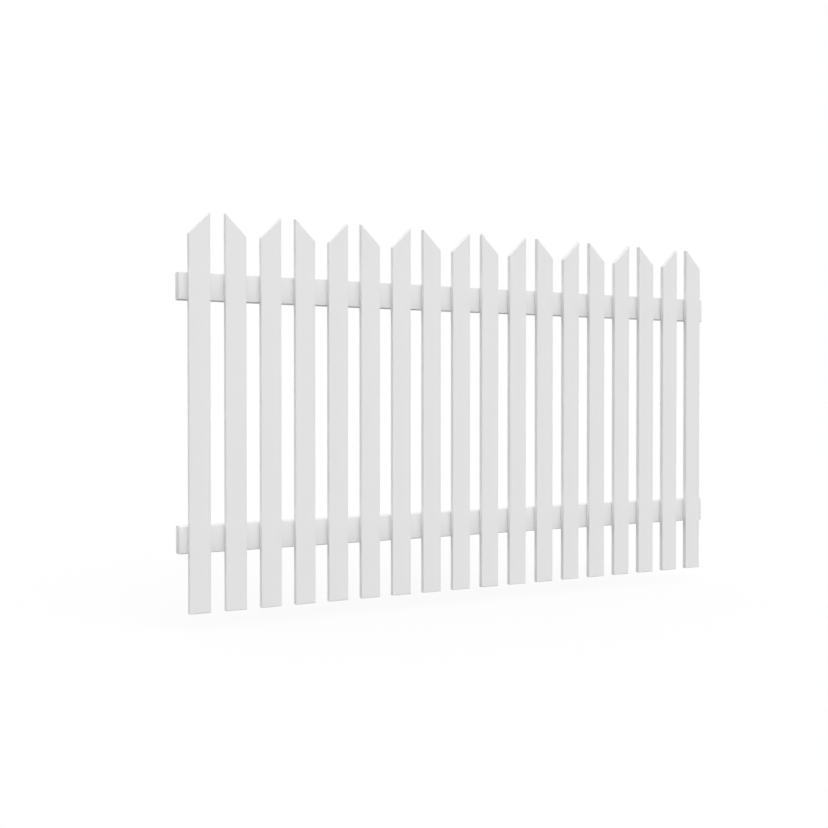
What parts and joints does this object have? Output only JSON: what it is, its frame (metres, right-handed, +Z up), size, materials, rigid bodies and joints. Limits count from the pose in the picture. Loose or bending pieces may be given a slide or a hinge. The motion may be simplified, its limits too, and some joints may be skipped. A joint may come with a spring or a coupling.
{
  "type": "picket fence panel",
  "caption": "Flat picket fence panel: upright boards on one even pitch, each with a slanted cut across its top so that neighbours pair into points, fixed on plain square-cut rails.",
  "frame": {"origin": "on the flat back of the bottom rail, at mid-length and mid-height of the rail", "axes": "+X along the panel to the right as seen from the front, +Y out of the rails' backs towards what holds the panel (the pickets face -Y), +Z up"},
  "size_m": [1.84, 0.046, 1.0741],
  "materials": {
    "picket_paint": "satin",
    "rail_paint": "satin",
    "screw_steel": "satin"
  },
  "bodies": {
    "root": {"picket_01": "picket_paint", "picket_02": "picket_paint", "picket_03": "picket_paint", "picket_04": "picket_paint", "picket_05": "picket_paint", "picket_06": "picket_paint", "picket_07": "picket_paint", "picket_08": "picket_paint", "picket_09": "picket_paint", "picket_10": "picket_paint", "picket_11": "picket_paint", "picket_12": "picket_paint", "picket_13": "picket_paint", "picket_14": "picket_paint", "picket_15": "picket_paint", "picket_16": "picket_paint", "picket_17": "picket_paint", "picket_18": "picket_paint", "bottom_rail": "rail_paint", "top_rail": "rail_paint"}
  },
  "joints": []
}
